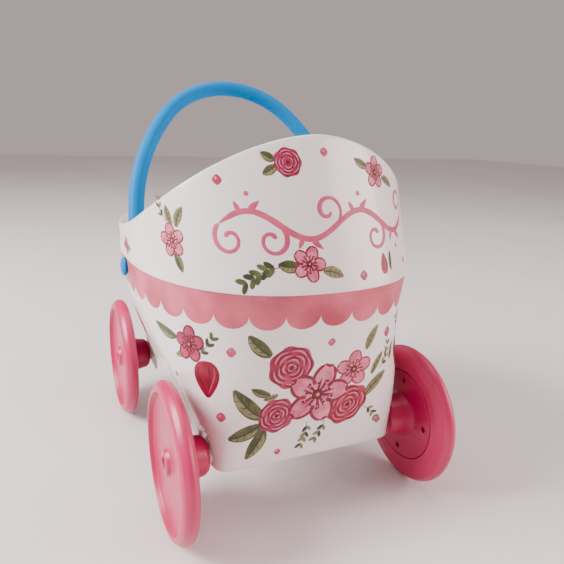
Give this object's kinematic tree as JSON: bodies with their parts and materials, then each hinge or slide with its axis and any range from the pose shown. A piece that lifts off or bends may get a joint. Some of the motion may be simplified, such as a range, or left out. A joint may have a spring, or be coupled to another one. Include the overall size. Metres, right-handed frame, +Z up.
{
  "type": "doll stroller",
  "caption": "Toy pram for dolls: tapered moulded tub with a tall curved hood, an arched handle that swings, and four wheels on steel axles.",
  "frame": {"origin": "on the ground, midway between the two axles and the two sides", "axes": "+Z up, +Y from the hood end towards the person who pushes, +X across to the stroller's right as seen from its hood end"},
  "size_m": [0.299, 0.414, 0.4252],
  "materials": {
    "white_shell": "glossy moulded, with painted ornament",
    "wheel_pink": "glossy moulded",
    "handle_blue": "satin moulded",
    "axle_steel": "drawn rod",
    "nut_steel": "pressed",
    "screw_steel": "zinc plated",
    "washer_nylon": "natural"
  },
  "bodies": {
    "chassis": {"axle_washer_front_left": "washer_nylon", "axle_washer_front_right": "washer_nylon", "axle_washer_rear_left": "washer_nylon", "axle_washer_rear_right": "washer_nylon", "end_nut_front_left": "nut_steel", "end_nut_front_right": "nut_steel", "end_nut_rear_left": "nut_steel", "end_nut_rear_right": "nut_steel", "front_axle": "axle_steel", "hood": "white_shell", "hood_screws": "screw_steel", "rear_axle": "axle_steel", "tub": "white_shell"},
    "handle": {"handle": "handle_blue", "pivot_plug_left": "handle_blue", "pivot_plug_right": "handle_blue", "pivot_screw_left": "screw_steel", "pivot_screw_right": "screw_steel"},
    "wheel_front_left": {"wheel_shell_front_left": "wheel_pink", "wheel_disc_front_left": "wheel_pink", "wheel_screws_front_left": "screw_steel"},
    "wheel_front_right": {"wheel_shell_front_right": "wheel_pink", "wheel_disc_front_right": "wheel_pink", "wheel_screws_front_right": "screw_steel"},
    "wheel_rear_left": {"wheel_shell_rear_left": "wheel_pink", "wheel_disc_rear_left": "wheel_pink", "wheel_screws_rear_left": "screw_steel"},
    "wheel_rear_right": {"wheel_shell_rear_right": "wheel_pink", "wheel_disc_rear_right": "wheel_pink", "wheel_screws_rear_right": "screw_steel"}
  },
  "joints": [
    {"name": "front_left_spin", "type": "hinge", "parent": "chassis", "child": "wheel_front_left", "pos_m": [-0.1315, -0.132, 0.075], "axis": [1, 0, 0], "continuous": true},
    {"name": "front_right_spin", "type": "hinge", "parent": "chassis", "child": "wheel_front_right", "pos_m": [0.1315, -0.132, 0.075], "axis": [1, 0, 0], "continuous": true},
    {"name": "rear_left_spin", "type": "hinge", "parent": "chassis", "child": "wheel_rear_left", "pos_m": [-0.1315, 0.132, 0.075], "axis": [1, 0, 0], "continuous": true},
    {"name": "rear_right_spin", "type": "hinge", "parent": "chassis", "child": "wheel_rear_right", "pos_m": [0.1315, 0.132, 0.075], "axis": [1, 0, 0], "continuous": true},
    {"name": "handle_swing", "type": "hinge", "parent": "chassis", "child": "handle", "pos_m": [0, 0.005, 0.228], "axis": [1, 0, 0], "range_deg": [-30, 64]}
  ]
}
